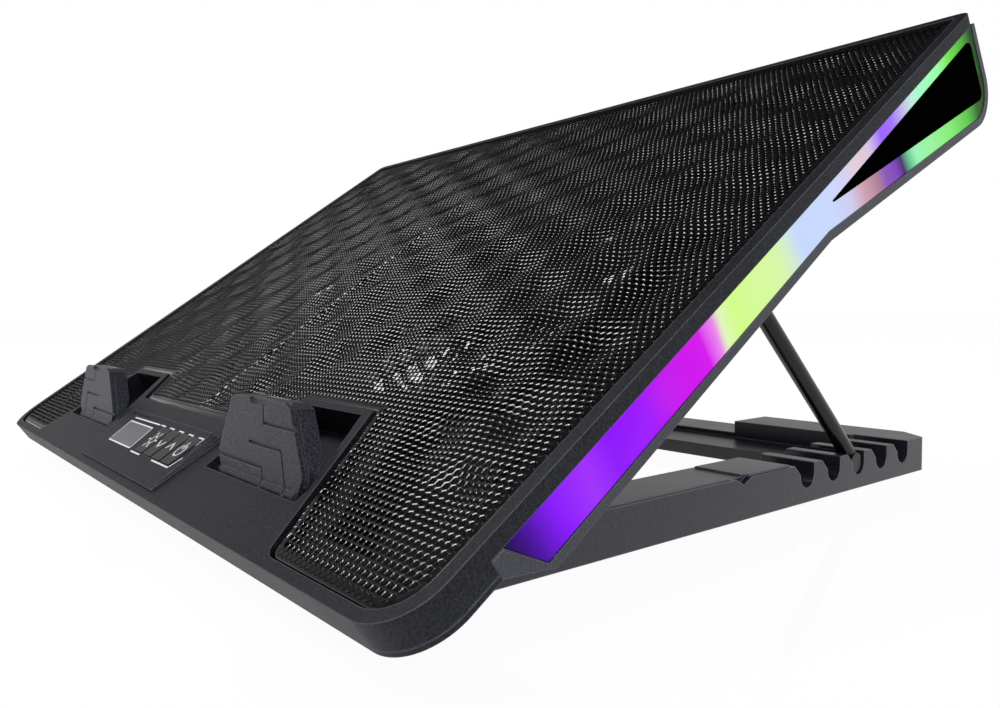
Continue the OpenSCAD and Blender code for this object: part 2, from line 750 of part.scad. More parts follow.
module fan_frame(s) {
    strut = 4;
    ear_r = 4;
    color("#202125") on_deck() translate([s * fan_x, fan_y, fan_low]) difference() {
        union() {
            difference() {
                cylinder(r = fan_r, h = fan_h, $fn = 96);
                translate([0, 0, -1]) cylinder(r = fan_r - fan_wall, h = fan_h + 2, $fn = 96);
            }
            cylinder(r = hub_r - 1, h = mount_t);
            for (a = [20, 110]) rotate(a)
                translate([-fan_r + 1, -strut / 2, 0]) cube([2 * fan_r - 2, strut, mount_t]);
            cylinder(r = 4.4, h = 6);
            for (a = [45:90:315]) rotate(a) translate([fan_r + 3, 0, 0]) cylinder(r = ear_r, h = 3);
        }
        translate([0, 0, -1]) cylinder(r = 3.02, h = 9);
        for (a = [45:90:315]) rotate(a) translate([fan_r + 3, 0, -1]) cylinder(r = 1.55, h = 6);
    }
}

module fan_frame_right() {
    fan_frame(1);
}

module fan_frame_left() {
    fan_frame(-1);
}

module fan_stator(s) {
    poles = 6;
    color("#a8713a") on_deck() translate([s * fan_x, fan_y, fan_low + mount_t]) difference() {
        union() {
            cylinder(r = 7, h = 4.6);
            for (i = [0:poles - 1]) rotate(i * 360 / poles)
                translate([0, -2.5, 0.6]) cube([11.6, 5, 3.4]);
        }
        translate([0, 0, -1]) cylinder(r = 4.45, h = 8);
    }
}

module fan_stator_right() {
    fan_stator(1);
}

module fan_stator_left() {
    fan_stator(-1);
}

module fan_bearing(s) {
    color("#c9a24a") on_deck() translate([s * fan_x, fan_y, fan_low + 0.2]) difference() {
        cylinder(r = 3, h = 5.8);
        translate([0, 0, -1]) cylinder(r = shaft_r + 0.03, h = 8);
    }
}

module fan_bearing_right() {
    fan_bearing(1);
}

module fan_bearing_left() {
    fan_bearing(-1);
}

module fan_rotor(s) {
    cup = 2;
    blade_t = 1.3;
    tip = fan_r - fan_wall - 1.2;
    color("#34363c") on_deck() translate([s * fan_x, fan_y, 0]) {
        difference() {
            union() {
                translate([0, 0, hub_low]) cylinder(r = hub_r, h = hub_high - hub_low);
                intersection() {
                    for (i = [0:fan_blades - 1]) rotate(i * 360 / fan_blades)
                        translate([hub_r - 2, 0, (hub_low + hub_high) / 2]) rotate([s * blade_pitch, 0, 0])
                            translate([0, -12, -blade_t / 2]) cube([tip - hub_r + 4, 24, blade_t]);
                    translate([0, 0, hub_low]) cylinder(r = tip, h = hub_high - hub_low, $fn = 96);
                }
            }
            translate([0, 0, hub_low - 1]) cylinder(r = hub_r - cup, h = 5.6);
            translate([0, 0, hub_low - 1]) cylinder(r = shaft_r + 0.02, h = 7.2);
        }
    }
}

module fan_rotor_right() {
    fan_rotor(1);
}

module fan_rotor_left() {
    fan_rotor(-1);
}

module fan_shaft(s) {
    color("#c8ccd2") on_deck() translate([s * fan_x, fan_y, fan_low + 0.4]) cylinder(r = shaft_r, h = 7.8);
}

module fan_shaft_right() {
    fan_shaft(1);
}

module fan_shaft_left() {
    fan_shaft(-1);
}

module fan_screws() {
    color("#8d9096") on_deck() for (s = side, a = [45:90:315])
        translate([s * fan_x, fan_y, fan_low]) rotate(a) translate([fan_r + 3, 0, 0]) {
            translate([0, 0, -tray_wall + 0.2]) cylinder(r = 1.3, h = tray_wall + 3);
            translate([0, 0, 3]) cylinder(r = 2.6, h = 1.5);
        }
}

// Stoppers, in a frame with Y behind the face and Z along the plate from the pin
module at_stopper(s) {
    on_deck() mirrored(s) translate([stop_x, stop_y, -stop_drop]) rotate([-stop_lean, 0, 0]) children();
}

// A step line on the stopper's face from a to b, in face coordinates
module face_groove(a, b) {
    groove = 1;
    along = b - a;
    translate([a[0], -stop_face, a[1]]) rotate([0, -atan2(along[1], along[0]), 0])
        translate([-groove / 2, -1, -groove / 2]) cube([norm(along) + groove, 1.8, groove]);
}

module stopper(s) {
    foot_z = -1;           // bottom of the plate
    wide_z = 7;            // where it is widest
    foot_half = stop_half - 3.4;
    scoop = [6.8, 1.5];    // radius and depth of the finger scoop at the top of the face
    flank = 0.8;           // width and depth of the groove behind the face
    knuckle = 3.2;
    back = stop_t - stop_face;
    outline = [[-foot_half, foot_z], [foot_half, foot_z], [stop_half, wide_z - 1.5], [stop_half, wide_z + 1],
        [stop_top, stop_len - 1.4], [stop_top - 4, stop_len], [-stop_top + 4, stop_len],
        [-stop_top, stop_len - 1.4], [-stop_half, wide_z + 1], [-stop_half, wide_z - 1.5]];
    color("#3b3c43") at_stopper(s) difference() {
        union() {
            intersection() {
                translate([0, back, 0]) rotate([90, 0, 0]) linear_extrude(stop_t) polygon(outline);
                side_slab([[-stop_face, foot_z], [1, foot_z], [back - 2, wide_z + 1.2],
                    [back, wide_z + 5], [back, stop_len + 1], [-stop_face, stop_len + 1]],
                    -stop_half - 1, stop_half + 1);
            }
            x_bar(knuckle, 2 * foot_half);
        }
        difference() {
            translate([0, -stop_face + 1.4 + flank, 0]) rotate([90, 0, 0])
                linear_extrude(flank) polygon(inset(outline, -1));
            translate([0, -stop_face + 1.5 + flank, 0]) rotate([90, 0, 0])
                linear_extrude(flank + 0.2) polygon(inset(outline, flank));
            translate([0, 0, stop_len - 2]) cube([4 * stop_half, 40, 4 * flank], center = true);
            x_bar(knuckle + flank, 4 * stop_half);
        }
        translate([0, -stop_face, stop_len]) rotate([45, 0, 0]) translate([0, 0, -scoop[1]])
            cylinder(r = scoop[0], h = 10);
        x_bar(stop_pin_r + fit, 3 * stop_half);
        face_groove([3, stop_len + 1], [4, 19.2]);
        face_groove([4, 19.2], [stop_half, 19.2]);
        face_groove([-6, 12.6], [17, 12.6]);
        face_groove([17, 12.6], [21.5, foot_z]);
        face_groove([-stop_half - 1, 6], [4, 6]);
        face_groove([4, 6], [5, foot_z]);
        block([-7.2, back - 1.8, 10], [7.2, back + 1, stop_len + 1]);
    }
}

module stopper_right() {
    stopper(1);
}

module stopper_left() {
    stopper(-1);
}

module stopper_pad(s) {
    color("#8a8b8f") at_stopper(s)
        block([-7, stop_t - stop_face - 1.8, 10.2], [7, stop_t - stop_face, stop_len]);
}

module stopper_pad_right() {
    stopper_pad(1);
}

module stopper_pad_left() {
    stopper_pad(-1);
}

module stopper_pins() {
    color("#b9bcc2") on_deck() for (s = side) mirrored(s)
        translate([stop_x, stop_y, -stop_drop]) x_bar(stop_pin_r, 2 * (pocket_half[0] + pocket_wall));
}

// Controls
terraces = 3;
terrace_h = 0.6;
// The panel's outline with its sides stepped in k times
function inset_sides(k) = both_sides([
    [panel_half - k * 0.4, panel_y], [panel_half_back - k * 2.4, panel_y + panel_d]]);

// Half of space below the panel's sloping face
module below_panel(drop) {
    translate([0, panel_y, panel_low]) rotate([panel_slope, 0, 0])
        block([-half_w, -20, -30], [half_w, 60, -drop]);
}

module control_panel() {
    tongue = inset(panel_outline, 2 + gap);
    color("#232428") difference() {
        on_deck() difference() {
            union() {
                intersection() {
                    for (k = [0:terraces - 1]) slab(inset_sides(k), 0, terrace_h * (k + 1));
                    below_panel(0);
                }
                intersection() {
                    slab(inset_sides(terraces), 0, 10);
                    below_panel(0);
                }
                slab(tongue, -frame_face, eps);
            }
            intersection() {
                slab(inset(tongue, panel_t), -10, 10);
                below_panel(panel_t);
            }
        }
        on_panel() {
            for (i = [0:3]) key_shape(i, 0.2, -4, 1);
            block([window[0][0], window[0][1], -1], [window[1][0], window[1][1], 1]);
            block([window[0][0] + 1, window[0][1] + 1, -4], [window[1][0] - 1, window[1][1] - 1, 1]);
            block([slot[0][0], slot[0][1], -0.8], [slot[1][0], slot[1][1], 1]);
        }
    }
}

// A key's slanted outline, grown by d, between two heights in the panel's frame
module key_shape(i, d, low, high) {
    x = key_first + i * key_pitch;
    l = key_l / 2;
    w = key_w / 2;
    lean = key_slant / 2;
    corners = [[x - w - lean, key_y - l], [x + w - lean, key_y - l],
        [x + w + lean, key_y + l], [x - w + lean, key_y + l]];
    slab(rounded(inset(corners, -d), [0.8, 0.8, 0.8, 0.8]), low, high);
}

module key(i) {
    stem_r = 1.1;
    color("#2a2b30") on_panel() {
        key_shape(i, 0, -2.4, 0.4);
        translate([key_first + i * key_pitch, key_y, -4.4]) cylinder(r = stem_r, h = 2.1);
    }
}

module key_light() {
    key(0);
}

module key_fan_down() {
    key(1);
}

module key_fan_up() {
    key(2);
}

module key_power() {
    key(3);
}

module key_switches() {
    color("#b8bac0") on_panel() for (i = [0:3])
        translate([key_first + i * key_pitch, key_y, -5.6]) difference() {
            translate([-2.5, -2.5, 0]) cube([5, 5, 2.1]);
            translate([0, 0, 0.4]) cylinder(r = 1.2, h = 4);
        }
}

module control_board() {
    color("#1f5b3a") on_panel() block([-44, 5, -6.8], [47, 25, -5.6]);
}

module display_window() {
    color("#55565c") on_panel() block([window[0][0] + 0.1, window[0][1] + 0.1, -1],
        [window[1][0] - 0.1, window[1][1] - 0.1, -0.05]);
}

module display_module() {
    color("#101114") on_panel() block([window[0][0] - 1, window[0][1] - 0.6, -5.6],
        [window[1][0] + 1, window[1][1] + 0.6, -1.6]);
}

// Sockets at the back
module usb_board() {
    color("#1f5b3a") on_deck()
        block([usb_x[0] - 8.5, deck_d - 26, usb_z - 4], [usb_x[1] + 8.5, deck_d - 3.4, usb_z - 2.8]);
}

module usb_sockets() {
    shell = 0.4;
    color("#c6c9ce") on_deck() for (x = usb_x) difference() {
        block([x - 6.6, deck_d - 17, usb_z - 2.8], [x + 6.6, deck_d - 1, usb_z + 2.9]);
        difference() {
            block([x - 6.6 + shell, deck_d - 16, usb_z - 2.8 + shell],
                [x + 6.6 - shell, deck_d, usb_z + 2.9 - shell]);
            block([x - 5.6, deck_d - 17, usb_z + 0.2], [x + 5.6, deck_d - 1.6, usb_z + 2]);
        }
    }
}

base_frame();
base_feet();
hinge_pins();
leg_right();
leg_left();
leg_pins();
leg_sleeve_right();
leg_sleeve_left();
top_frame();
mesh_grille();
bottom_tray();
tray_screws();
side_frame_right();
side_frame_left();
light_diffuser_right();
light_diffuser_left();
side_plate_right();
side_plate_left();
light_end_cap_right();
light_end_cap_left();
led_strip_right();
led_strip_left();
fan_frame_right();
fan_frame_left();
fan_stator_right();
fan_stator_left();
fan_bearing_right();
fan_bearing_left();
fan_rotor_right();
fan_rotor_left();
fan_shaft_right();
fan_shaft_left();
fan_screws();
stopper_right();
stopper_left();
stopper_pad_right();
stopper_pad_left();
stopper_pins();
control_panel();
display_window();
display_module();
control_board();
key_switches();
key_light();
key_fan_down();
key_fan_up();
key_power();
usb_board();
usb_sockets();
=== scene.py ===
import json, math
import bpy
import numpy as np
from mathutils import Matrix, Vector


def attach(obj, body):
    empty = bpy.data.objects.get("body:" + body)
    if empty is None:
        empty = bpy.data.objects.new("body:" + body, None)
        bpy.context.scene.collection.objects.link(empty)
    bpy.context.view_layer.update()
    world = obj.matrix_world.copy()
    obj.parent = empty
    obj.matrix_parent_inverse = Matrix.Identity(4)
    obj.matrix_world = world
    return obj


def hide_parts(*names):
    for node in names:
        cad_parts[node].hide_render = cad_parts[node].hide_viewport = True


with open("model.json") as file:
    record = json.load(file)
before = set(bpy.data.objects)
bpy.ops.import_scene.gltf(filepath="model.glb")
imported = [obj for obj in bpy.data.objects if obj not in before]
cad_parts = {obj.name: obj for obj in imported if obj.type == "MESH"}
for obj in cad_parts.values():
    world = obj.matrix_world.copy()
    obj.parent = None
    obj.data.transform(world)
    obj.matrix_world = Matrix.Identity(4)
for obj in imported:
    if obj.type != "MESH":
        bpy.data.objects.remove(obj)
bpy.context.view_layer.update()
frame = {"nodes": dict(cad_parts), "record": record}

jointAt = {j["name"]: j for j in frame["record"]["behaviour"]["joints"]}

# places on the deck are u across, v up the slope from the front edge and w out of the top face, in mm
deck = dict(tilt=34.2, hingeV=40.2, hingeW=-29.8)   # its slope in degrees and where its hinge lies
panel = dict(v=3.4, w=0.9, rise=1.5, depth=27.4)   # its front edge, and how far it rises over its depth
hinge = np.array(jointAt["deck_tilt"]["pos_m"])
tilt = math.radians(deck["tilt"])
alongV = np.array([0.0, math.cos(tilt), math.sin(tilt)])
alongW = np.array([0.0, -math.sin(tilt), math.cos(tilt)])


def deckPoint(u, v, w):
    # hinge + u X + (v - hingeV) slope + (w - hingeW) normal, from mm to metres
    u, v, w = np.broadcast_arrays(np.asarray(u, float), np.asarray(v, float), np.asarray(w, float))
    p = (v - deck["hingeV"])[..., None] * alongV + (w - deck["hingeW"])[..., None] * alongW
    p = p + u[..., None] * np.array([1.0, 0.0, 0.0])
    return hinge + p / 1000


def panelPoint(x, y, h):
    # the panel's own plane: x across, y up the panel from its front edge, h out of its face
    lean = math.atan(panel["rise"] / panel["depth"])
    y, h = np.asarray(y, float), np.asarray(h, float)
    v = panel["v"] + y * math.cos(lean) - h * math.sin(lean)
    w = panel["w"] + y * math.sin(lean) + h * math.cos(lean)
    return deckPoint(x, v, w)


# the camera stands near the right front corner, low down
view = dict(at=(0.334743, -0.229033, 0.074016), yaw=51.104, pitch=-3.182, roll=-0.533,
            lens=29.82, sensor=36, nearest=0.01)
cameraData = bpy.data.cameras.new("camera")
cameraData.lens, cameraData.sensor_width = view["lens"], view["sensor"]
cameraData.sensor_fit = "HORIZONTAL"
cameraData.clip_start = view["nearest"]
camera = bpy.data.objects.new("camera", cameraData)
bpy.context.scene.collection.objects.link(camera)
camera.location = view["at"]
camera.rotation_mode = "XYZ"
camera.rotation_euler = (Matrix.Rotation(math.radians(view["yaw"]), 3, "Z")
                         @ Matrix.Rotation(math.radians(90 + view["pitch"]), 3, "X")
                         @ Matrix.Rotation(math.radians(view["roll"]), 3, "Z")).to_euler("XYZ")
bpy.context.scene.camera = camera
bpy.context.scene.view_settings.view_transform = "Standard"
print("camera ready")


def linear(hexText, alpha=1.0):
    # sRGB hex to linear: c / 12.92 below 0.04045, else ((c + 0.055) / 1.055) ^ 2.4
    c = np.array([int(hexText[i:i + 2], 16) for i in (1, 3, 5)]) / 255
    c = np.where(c <= 0.04045, c / 12.92, ((c + 0.055) / 1.055) ** 2.4)
    return (*c.tolist(), alpha)


def addNode(tree, kind, links=(), inputs=None, **settings):
    # a node of any kind, with its settings, its socket values and its links from other nodes
    node = tree.nodes.new(kind)
    for key, value in settings.items():
        setattr(node, key, value)
    for key, value in (inputs or {}).items():
        node.inputs[key].default_value = value
    for source, socket in links:
        tree.links.new(source, node.inputs[socket])
    return node


def newMaterial(name):
    material = bpy.data.materials.new(name)
    material.use_nodes = True
    tree = material.node_tree
    tree.nodes.clear()
    return material, tree


def finishMaterial(tree, shader):
    addNode(tree, "ShaderNodeOutputMaterial", links=[(shader, "Surface")])


def mouldedPlastic(name, colour, lighter, grain=0.3, roughness=0.5, bump=0.25, rounding=0.35,
                   shine=0.35, edgeHighlight=0.0):
    # Moulded ABS with a spark-eroded texture: dark, dull, a fine even grain with a soft sheen at
    # low angles. grain is the grain's width and rounding softens the moulded edges, both in mm;
    # shine is the specular level; the last setting is how much lighter the edges are painted: a painted highlight
    # along every edge.
    # The grain is drawn about three times as coarse as the real one, so that it shows
    material, tree = newMaterial(name)
    place = addNode(tree, "ShaderNodeTexCoord")
    fine = addNode(tree, "ShaderNodeTexNoise", links=[(place.outputs["Object"], "Vector")],
                   inputs={"Scale": 1000 / grain / 2, "Detail": 2.0, "Roughness": 0.6})   # two grains to a cell
    broad = addNode(tree, "ShaderNodeTexNoise", links=[(place.outputs["Object"], "Vector")],
                    inputs={"Scale": 1000 / 35.714, "Detail": 3.0, "Roughness": 0.5})   # clouds 36 mm wide
    # the ramp's place is 2.4 fine + 0.5 broad - 0.95: the grain carries it, larger clouds shift it a little
    clouds = addNode(tree, "ShaderNodeMath", operation="MULTIPLY_ADD", links=[(broad.outputs["Fac"], 0)])
    clouds.inputs[1].default_value, clouds.inputs[2].default_value = 0.5, -0.95
    mixed = addNode(tree, "ShaderNodeMath", operation="MULTIPLY_ADD",
                    links=[(fine.outputs["Fac"], 0), (clouds.outputs[0], 2)])
    mixed.inputs[1].default_value = 2.4
    ramp = addNode(tree, "ShaderNodeValToRGB", links=[(mixed.outputs[0], "Fac")])
    ramp.color_ramp.elements[0].position, ramp.color_ramp.elements[1].position = 0.2, 0.8
    ramp.color_ramp.elements[0].color, ramp.color_ramp.elements[1].color = linear(colour), linear(lighter)
    rough = addNode(tree, "ShaderNodeMapRange", links=[(broad.outputs["Fac"], "Value")],
                    inputs={"To Min": roughness - 0.06, "To Max": roughness + 0.06})
    edge = addNode(tree, "ShaderNodeBevel", inputs={"Radius": rounding / 1000}, samples=4)
    relief = addNode(tree, "ShaderNodeBump", links=[(fine.outputs["Fac"], "Height"), (edge.outputs[0], "Normal")],
                     inputs={"Strength": bump, "Distance": 0.0001})   # the grain is 0.1 mm deep
    # an edge is where the rounded normal leaves the flat one: 1 - rounded . flat, from 0.02 to 0.25
    flat = addNode(tree, "ShaderNodeNewGeometry")
    same = addNode(tree, "ShaderNodeVectorMath", operation="DOT_PRODUCT",
                   links=[(edge.outputs[0], 0), (flat.outputs["Normal"], 1)])
    # painted highlight: along every edge the colour is painted pale, from none up to the last setting
    wearAndEdgeHighlight = addNode(tree, "ShaderNodeMapRange", links=[(same.outputs["Value"], "Value")],
                   inputs={"From Min": 0.98, "From Max": 0.75, "To Min": 0.0, "To Max": edgeHighlight})
    tone = addNode(tree, "ShaderNodeMix", data_type="RGBA", links=[(wearAndEdgeHighlight.outputs[0], "Factor")])
    tree.links.new(ramp.outputs["Color"], tone.inputs[6])
    tone.inputs[7].default_value = linear("#b4b8c4")   # the pale colour of the painted edge highlight
    shader = addNode(tree, "ShaderNodeBsdfPrincipled", inputs={"IOR": 1.46, "Specular IOR Level": shine},
                     links=[(tone.outputs[2], "Base Color"), (rough.outputs[0], "Roughness"),
                            (relief.outputs[0], "Normal")])
    finishMaterial(tree, shader.outputs[0])
    return material


def plainMetal(name, colour, roughness, brushed=0.15):
    # Turned or drawn metal: full reflection, with fine lines 0.7 mm apart along X from the tool
    material, tree = newMaterial(name)
    place = addNode(tree, "ShaderNodeTexCoord")
    stretch = addNode(tree, "ShaderNodeMapping", links=[(place.outputs["Object"], "Vector")],
                      inputs={"Scale": (1000 / 16.667, 1000 / 0.66667, 1000 / 0.66667)})   # lines 17 mm long
    lines = addNode(tree, "ShaderNodeTexNoise", links=[(stretch.outputs[0], "Vector")], inputs={"Scale": 1.0})
    rough = addNode(tree, "ShaderNodeMapRange", links=[(lines.outputs["Fac"], "Value")],
                    inputs={"To Min": roughness - brushed / 2, "To Max": roughness + brushed / 2})
    shader = addNode(tree, "ShaderNodeBsdfPrincipled", inputs={"Base Color": linear(colour), "Metallic": 1.0},
                     links=[(rough.outputs[0], "Roughness")])
    finishMaterial(tree, shader.outputs[0])
    return material


def glossyPlastic(name, colour, roughness, bump=0.0, shine=0.5):
    # Polished ABS or acrylic: one deep colour, a clear highlight, a trace of unevenness from the mould
    material, tree = newMaterial(name)
    place = addNode(tree, "ShaderNodeTexCoord")
    waves = addNode(tree, "ShaderNodeTexNoise", links=[(place.outputs["Object"], "Vector")],
                    inputs={"Scale": 1000 / 25, "Detail": 2.0})   # waves 25 mm long
    rough = addNode(tree, "ShaderNodeMapRange", links=[(waves.outputs["Fac"], "Value")],
                    inputs={"To Min": max(roughness - 0.03, 0.02), "To Max": roughness + 0.03})
    edge = addNode(tree, "ShaderNodeBevel", inputs={"Radius": 0.00025}, samples=4)   # edges of 0.25 mm
    relief = addNode(tree, "ShaderNodeBump", links=[(waves.outputs["Fac"], "Height"), (edge.outputs[0], "Normal")],
                     inputs={"Strength": bump, "Distance": 0.0002})   # waves up to 0.2 mm deep
    shader = addNode(tree, "ShaderNodeBsdfPrincipled",
                     inputs={"Base Color": linear(colour), "IOR": 1.5, "Specular IOR Level": shine},
                     links=[(rough.outputs[0], "Roughness"), (relief.outputs[0], "Normal")])
    finishMaterial(tree, shader.outputs[0])
    return material


def rubberMaterial(name, colour, lighter):
    # Moulded rubber: very dull, slightly dusty, soft-edged
    return mouldedPlastic(name, colour, lighter, grain=0.4, roughness=0.75, bump=0.4, rounding=0.5, shine=0.25)


# the light's colours as (mm up the slope, colour), above and below the black plate; the plate's middle
# line drops by fall for each mm past fromV, and the lower colours come in over blend and over start to full
plateMiddle = dict(w=-9.8, fall=0.1, fromV=176, blend=1.0, start=174, full=180)
lightColours = dict(
    upper=[(30, "#16002e"), (37, "#4c00a8"), (46, "#8800ff"), (57, "#a22cff"), (66, "#8e00ff"), (80, "#a000ff"),
           (89, "#c600f2"), (106, "#d800f0"), (112, "#ee86f2"), (115, "#e4f6bc"), (121, "#d4ff8a"),
           (145, "#daf9a8"), (152, "#d4ecd4"), (158, "#c6daff"), (180, "#ccdaff"), (189, "#d8d2f2"),
           (197, "#e6d0d8"), (207, "#dcc4e0"), (215, "#9a60ff"), (223, "#a274ff"), (232, "#c2b8f0"),
           (240, "#c4ecde"), (248, "#a0ffc8"), (262, "#9cffa8"), (272, "#6ee84c"), (285, "#4cb42e"),
           (293, "#1e4a18")],
    lower=[(176, "#c8daff"), (188, "#d0cef0"), (197, "#d0a2b2"), (206, "#b08292"), (212, "#8a52ba"),
           (218, "#7e40c0"), (223, "#44206a"), (228, "#64c08a"), (234, "#9cf4b8"), (246, "#98f49c"),
           (262, "#84ea70"), (276, "#58c444"), (285, "#2c6220"), (293, "#1c4016")])


def litDiffuser(name):
    # Milky polycarbonate lit from behind by coloured lamps: an even glow whose colour changes along
    # the slope and parts into an upper and a lower branch round the black plate
    material, tree = newMaterial(name)
    place = addNode(tree, "ShaderNodeTexCoord")
    slopes = []
    for axis, shift in ((alongV, deck["hingeV"]), (alongW, deck["hingeW"])):
        dot = addNode(tree, "ShaderNodeVectorMath", operation="DOT_PRODUCT", links=[(place.outputs["Object"], 0)])
        dot.inputs[1].default_value = axis.tolist()
        scaled = addNode(tree, "ShaderNodeMath", operation="MULTIPLY_ADD", links=[(dot.outputs["Value"], 0)])
        scaled.inputs[1].default_value = 1000
        scaled.inputs[2].default_value = shift - 1000 * float(hinge @ axis)
        slopes.append(scaled.outputs[0])
    v, w = slopes
    streaks = addNode(tree, "ShaderNodeTexNoise", links=[(place.outputs["Object"], "Vector")],
                      inputs={"Scale": 1000 / 22.222, "Detail": 1.0})   # clouds 22 mm wide
    wobble = addNode(tree, "ShaderNodeMath", operation="MULTIPLY_ADD", links=[(streaks.outputs["Fac"], 0), (v, 2)])
    wobble.inputs[1].default_value = 5.0   # the clouds move the colours by up to 5 mm, by 2.5 mm on average
    ramps = []
    for branch in ("upper", "lower"):
        stops = lightColours[branch]
        first, last = stops[0][0], stops[-1][0]
        along = addNode(tree, "ShaderNodeMapRange", links=[(wobble.outputs[0], "Value")],
                        inputs={"From Min": first + 2.5, "From Max": last + 2.5})
        ramp = addNode(tree, "ShaderNodeValToRGB", links=[(along.outputs[0], "Fac")])
        elements = ramp.color_ramp.elements
        for i, (at, colour) in enumerate(stops):
            spot = (at - first) / (last - first)
            if i == 0:
                element = elements[0]
            elif i < len(stops) - 1:
                element = elements.new(spot)
            else:
                element = elements[len(elements) - 1]
            element.position, element.color = spot, linear(colour)
        ramps.append(ramp.outputs["Color"])
    # below the middle of the plate: w + fall v < the middle's w + fall fromV
    line = plateMiddle["w"] + plateMiddle["fall"] * plateMiddle["fromV"]
    middle = addNode(tree, "ShaderNodeMath", operation="MULTIPLY_ADD", links=[(v, 0), (w, 2)])
    middle.inputs[1].default_value = plateMiddle["fall"]
    below = addNode(tree, "ShaderNodeMapRange", links=[(middle.outputs[0], "Value")],
                    inputs={"From Min": line, "From Max": line - plateMiddle["blend"]})
    past = addNode(tree, "ShaderNodeMapRange", links=[(v, "Value")],
                   inputs={"From Min": plateMiddle["start"], "From Max": plateMiddle["full"]})
    side = addNode(tree, "ShaderNodeMath", operation="MULTIPLY", links=[(below.outputs[0], 0), (past.outputs[0], 1)])
    mixed = addNode(tree, "ShaderNodeMix", data_type="RGBA", links=[(side.outputs[0], "Factor")])
    tree.links.new(ramps[0], mixed.inputs[6])
    tree.links.new(ramps[1], mixed.inputs[7])
    # paler clouds, where the light spreads in the milky plastic
    soft = addNode(tree, "ShaderNodeMapRange", links=[(streaks.outputs["Fac"], "Value")],
                   inputs={"From Min": 0.35, "From Max": 0.7, "To Min": 0.0, "To Max": 0.008})
    paler = addNode(tree, "ShaderNodeMix", data_type="RGBA", links=[(soft.outputs[0], "Factor")])
    tree.links.new(mixed.outputs[2], paler.inputs[6])
    paler.inputs[7].default_value = (1, 1, 1, 1)
    shader = addNode(tree, "ShaderNodeBsdfPrincipled",
                     inputs={"Base Color": linear("#040405"), "Roughness": 0.4, "Specular IOR Level": 0.05,
                             "Emission Strength": 0.97},
                     links=[(paler.outputs[2], "Emission Color")])
    finishMaterial(tree, shader.outputs[0])
    return material


# the last setting of each moulded plastic is a painted highlight along its edges
materials = dict(
    deckAbs=mouldedPlastic("deckAbs", "#0c0d11", "#272931",
                           grain=0.3, roughness=0.5, bump=0.8, rounding=0.5, shine=0.2, edgeHighlight=0.45),
    baseAbs=mouldedPlastic("baseAbs", "#1b1c22", "#31333d",
                           grain=0.25, roughness=0.36, bump=0.35, rounding=0.7, shine=0.5, edgeHighlight=0.6),
    sideAbs=mouldedPlastic("sideAbs", "#282a31", "#40424c",
                           grain=0.25, roughness=0.4, bump=0.2, rounding=0.4, shine=0.45, edgeHighlight=0.5),
    stopperAbs=mouldedPlastic("stopperAbs", "#1a1b21", "#41434d",
                              grain=0.3, roughness=0.45, bump=0.6, rounding=0.6, shine=0.25, edgeHighlight=0.3),
    keyAbs=mouldedPlastic("keyAbs", "#1c1d20", "#26272b",
                          grain=0.35, roughness=0.4, bump=0.15, rounding=0.2),
    legAbs=mouldedPlastic("legAbs", "#0b0b0d", "#141417",
                          grain=0.5, roughness=0.25, bump=0.1, rounding=0.3, shine=0.3),
    fanAbs=mouldedPlastic("fanAbs", "#0e0e10", "#161618",
                          grain=0.5, roughness=0.4, bump=0.1, rounding=0.3),
    rubber=rubberMaterial("mouldedRubber", "#161617", "#1f1f21"),
    greyRubber=rubberMaterial("greyRubber", "#86878a", "#949598"),
    steel=plainMetal("turnedSteel", "#b4b6ba", 0.3),
    brass=plainMetal("sinteredBronze", "#b08a4a", 0.4),
    copper=plainMetal("copperWindings", "#b0683a", 0.35, brushed=0.3),
    gloss=glossyPlastic("blackAcrylic", "#020202", 0.35, shine=0.0),
    window=glossyPlastic("smokedWindow", "#56575e", 0.3, bump=0.1),
    board=glossyPlastic("solderMask", "#16603a", 0.35, bump=0.3),
    lampBoard=glossyPlastic("whiteLampBoard", "#dcdcd4", 0.4, bump=0.1),
    diffuser=litDiffuser("litPolycarbonate"),
)


def paintedMesh(name):
    # Perforated steel with a gloss black powder coat: deep black, with small sharp glints on the
    # rounded edges of the holes and an orange peel 1.4 mm wide
    material, tree = newMaterial(name)
    place = addNode(tree, "ShaderNodeTexCoord")
    orange = addNode(tree, "ShaderNodeTexNoise", links=[(place.outputs["Object"], "Vector")],
                     inputs={"Scale": 1000 / 1.4286, "Detail": 1.0})
    rough = addNode(tree, "ShaderNodeMapRange", links=[(orange.outputs["Fac"], "Value")],
                    inputs={"To Min": 0.1, "To Max": 0.2})
    shader = addNode(tree, "ShaderNodeBsdfPrincipled",
                     inputs={"Base Color": linear("#040405"), "IOR": 1.55},
                     links=[(rough.outputs[0], "Roughness")])
    finishMaterial(tree, shader.outputs[0])
    return material


